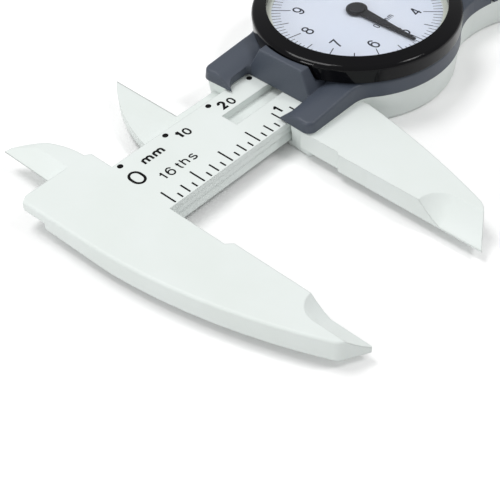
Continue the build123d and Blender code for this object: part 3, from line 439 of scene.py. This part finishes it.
# Middle lines of the strokes of each sign, in a box one wide and one high
SIGNS = {
    ".": [[(0.5, -0.09), (0.5, 0.09)]],
    "0": [arc(0.5, 0.6, 0.5, 0.4, 0, 180) + arc(0.5, 0.4, 0.5, 0.4, 180, 360) + [(1.0, 0.6)]],
    "1": [[(0.0, 0.74), (0.5, 0.78), (0.85, 0.88), (1.0, 1.0)], [(1.0, 1.0), (1.0, 0.0)]],
    "2": [arc(0.5, 0.71, 0.49, 0.29, 175, -38) + [(0.02, 0.0), (1.0, 0.0)]],
    "3": [arc(0.47, 0.76, 0.45, 0.24, 155, -90), arc(0.47, 0.26, 0.53, 0.26, 90, -160)],
    "4": [[(0.76, 0.0), (0.76, 1.0)], [(0.76, 1.0), (0.0, 0.28), (1.0, 0.28)]],
    "5": [[(0.93, 1.0), (0.2, 1.0), (0.1, 0.48)] + arc(0.48, 0.33, 0.52, 0.33, 130, -158)],
    "6": [ring(0.5, 0.33, 0.5, 0.33), arc(0.54, 0.52, 0.54, 0.48, 35, 180) + [(0.0, 0.33)]],
    "7": [[(0.0, 1.0), (1.0, 1.0), (0.62, 0.5), (0.36, 0.0)]],
    "8": [ring(0.5, 0.27, 0.5, 0.27), ring(0.5, 0.77, 0.44, 0.23)],
    "9": [ring(0.5, 0.67, 0.5, 0.33), arc(0.46, 0.48, 0.54, 0.48, 215, 360) + [(1.0, 0.67)]],
    "h": [[(0.0, 0.0), (0.0, 1.0)], [(1.0, 0.0)] + arc(0.5, 0.46, 0.5, 0.26, 0, 180)],
    "m": [
        [(0.0, 0.0), (0.0, 1.0)],
        [(0.5, 0.0)] + arc(0.25, 0.68, 0.25, 0.32, 0, 180),
        [(1.0, 0.0)] + arc(0.75, 0.68, 0.25, 0.32, 0, 180),
    ],
    "s": [arc(0.5, 0.76, 0.46, 0.24, 25, 265) + arc(0.5, 0.26, 0.5, 0.26, 85, -155)],
    "t": [[(0.42, 1.0)] + arc(0.85, 0.2, 0.43, 0.2, 180, 280), [(0.0, 0.75), (1.0, 0.75)]],
}


def ribbon(path, width):
    """Faces of a stroke of one width along a path, closed where its ends meet."""
    points = [Vector(point) for point in path]
    closed = (points[0] - points[-1]).length < CLOSED
    if closed:
        points.pop()
    count = len(points)
    rims = []
    for index, point in enumerate(points):
        arriving = point - points[index - 1]
        leaving = points[(index + 1) % count] - point
        if not closed and index == 0:
            arriving = leaving
        if not closed and index == count - 1:
            leaving = arriving
        sides = [Vector((-run.y, run.x)).normalized() for run in (arriving, leaving)]
        mitre = (sides[0] + sides[1]) / max(1 + sides[0].dot(sides[1]), SHARPEST)
        rims.append((point - mitre * width / 2, point + mitre * width / 2))
    if closed:
        rims.append(rims[0])
    return [(near[0], far[0], far[1], near[1]) for near, far in zip(rims, rims[1:])]


def sign(name, x, y, wide, high, stroke, turn=0.0):
    """Faces of one sign with its middle at x, y, turned by degrees."""
    spin = Matrix.Rotation(radians(turn), 2)
    faces = []
    for path in SIGNS[name]:
        line = [((over - 0.5) * (wide - stroke), (up - 0.5) * (high - stroke)) for over, up in path]
        for face in ribbon(line, stroke):
            faces.append([spin @ corner + Vector((x, y)) for corner in face])
    return faces


def layer(shape, points, used, level):
    """New vertices of a shape at the used points, all on one level, by the points' numbers."""
    vertices = {}
    for index in used:
        vertices[index] = shape.verts.new((points[index].x * MM, points[index].y * MM, level * MM))
    return vertices


def stamp(shape, faces, foot):
    """Adds faces as one raised print on the level foot; where they overlap they are joined."""
    corners = []
    numbers = []
    for face in faces:
        numbers.append(list(range(len(corners), len(corners) + len(face))))
        corners.extend(face)
    points, _, triangles, _, _, owners = delaunay_2d_cdt(corners, [], numbers, WHOLE_HULL, CLOSED)
    inside = [triangle for triangle, owner in zip(triangles, owners) if owner]
    used = sorted({corner for triangle in inside for corner in triangle})
    low = layer(shape, points, used, foot)
    high = layer(shape, points, used, foot + INK_HEIGHT)
    for triangle in inside:
        shape.faces.new([high[corner] for corner in triangle])
    # A run that no triangle has the other way round lies on the rim, and gets a side
    runs = {(triangle[index - 1], triangle[index]) for triangle in inside for index in range(len(triangle))}
    for near, far in runs:
        if (far, near) not in runs:
            shape.faces.new((low[near], low[far], high[far], high[near]))


def add_piece(name, shape, body, look):
    """Turns a mesh shape into a piece that rides on a body."""
    mesh = bpy.data.meshes.new(name)
    shape.to_mesh(mesh)
    shape.free()
    mesh.materials.append(look)
    piece = bpy.data.objects.new(name, mesh)
    bpy.context.scene.collection.objects.link(piece)
    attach(piece, body)


# Printed scale of the beam
ticks = bmesh.new()
for index in range(int(SCALE_LENGTH / TICK_STEP) + 1):
    kind = max(apart for apart in TICK_TOPS if index % apart == 0)
    x = SCALE_ZERO + index * TICK_STEP
    stamp(ticks, [bar(x, TICK_FOOT, TICK_TOPS[kind] - TICK_FOOT, TICK_WIDTH, pi / 2)], BEAM_FACE)
for index in range(int(SCALE_LENGTH / DOT_STEP) + 1):
    stamp(ticks, [disc(SCALE_ZERO + index * DOT_STEP, DOT_LINE, DOT_RADIUS)], BEAM_FACE)
add_piece("beam_scale", ticks, "beam", INK)


# Legend and numbers of the beam
def number(shape, text, x, style):
    """Adds a number of the beam that starts at x, and gives the place where the next one may start."""
    for name in text:
        wide = NARROW.get(name, style["width"])
        faces = sign(name, x + wide / 2, style["line"], wide, style["height"], style["stroke"])
        stamp(shape, faces, BEAM_FACE)
        x += wide + NUMBER_GAP
    return x


figures = bmesh.new()
for letter in LEGEND:
    stamp(figures, sign(*letter), BEAM_FACE)
for tens in range(1, int(SCALE_LENGTH / DOT_STEP) + 1):
    end = number(figures, str(tens), SCALE_ZERO + tens * DOT_STEP + TENS["start"], TENS)
    number(figures, "0", end, TENS_ZERO)
for inches in range(1, int(SCALE_LENGTH / INCH) + 1):
    number(figures, str(inches), SCALE_ZERO + inches * INCH + INCHES["start"], INCHES)
add_piece("beam_figures", figures, "beam", INK)


# Printed dial
def dial_angle(index, count):
    """Direction of one of count marks that go clockwise around the dial from its zero."""
    return radians(DIAL_TOP + DIAL_TURN - index * 360 / count)


marks = bmesh.new()
for index in range(DIVISIONS):
    angle = dial_angle(index, DIVISIONS)
    kinds = [FINE_TICK]
    if index % LONG_EVERY == 0:
        kinds = [LONG_TICK]
    elif index % HALF_EVERY == 0:
        kinds = [FINE_TICK, HALF_TICK]
    for start, end, width in kinds:
        tick = bar(DIAL_X + start * cos(angle), start * sin(angle), end - start, width, angle)
        stamp(marks, [tick], DIAL_FACE)
for digit in range(DIGITS):
    angle = dial_angle(digit, DIGITS)
    x = DIAL_X + NUMERAL_RADIUS * cos(angle)
    y = NUMERAL_RADIUS * sin(angle)
    stamp(marks, sign(str(digit), x, y, **NUMERAL, turn=DIAL_TURN), DIAL_FACE)
for name, x, y, wide, high, stroke in UNIT:
    place = Matrix.Rotation(radians(DIAL_TURN), 2) @ Vector((x, y + UNIT_LINE))
    faces = sign(name, place.x + DIAL_X, place.y, wide, high, stroke, DIAL_TURN)
    stamp(marks, faces, DIAL_FACE)
add_piece("dial_print", marks, "bezel", DIAL_INK)

# Floor: white, with the caliper's own soft shadow
floor_mesh = bpy.data.meshes.new("floor")
floor_shape = bmesh.new()
bmesh.ops.create_grid(
    floor_shape,
    x_segments=FLOOR_CELLS,
    y_segments=FLOOR_CELLS,
    size=FLOOR_SIZE * MM / 2,
)
floor_shape.to_mesh(floor_mesh)
floor_shape.free()
floor_mesh.materials.append(floor_material())
floor = bpy.data.objects.new("floor", floor_mesh)
floor.location = (FLOOR_X * MM, 0.0, FLOOR * MM)
bpy.context.scene.collection.objects.link(floor)

# World: even soft light
world = bpy.data.worlds.new("studio")
world.use_nodes = True
background = world.node_tree.nodes["Background"]
background.inputs["Color"].default_value = (1.0, 1.0, 1.0, 1.0)
background.inputs["Strength"].default_value = WORLD_STRENGTH
bpy.context.scene.world = world


# Lamps
def lamp(name, place, size, power):
    """Square soft light aimed at the caliper; place and size in millimetres, power in watts."""
    data = bpy.data.lights.new(name, "AREA")
    data.shape = "SQUARE"
    data.size = size * MM
    data.energy = power
    light = bpy.data.objects.new(name, data)
    light.location = Vector(place) * MM
    direction = Vector(LAMP_AIM) - Vector(place)
    light.rotation_euler = direction.to_track_quat("-Z", "Y").to_euler()
    bpy.context.scene.collection.objects.link(light)


for name, values in LAMPS.items():
    lamp(name, **values)

# Camera
camera_data = bpy.data.cameras.new("camera")
camera_data.lens = CAMERA_LENS
camera_data.sensor_width = CAMERA_SENSOR
camera_data.clip_start = CAMERA_NEAR * MM
camera = bpy.data.objects.new("camera", camera_data)
up = -CAMERA_DOWN
back = -CAMERA_FORWARD
turn = Matrix((CAMERA_RIGHT, up, back)).transposed().to_4x4()
camera.matrix_world = Matrix.Translation(CAMERA_PLACE) @ turn
bpy.context.scene.collection.objects.link(camera)
bpy.context.scene.camera = camera

bpy.context.scene.view_settings.view_transform = "Standard"
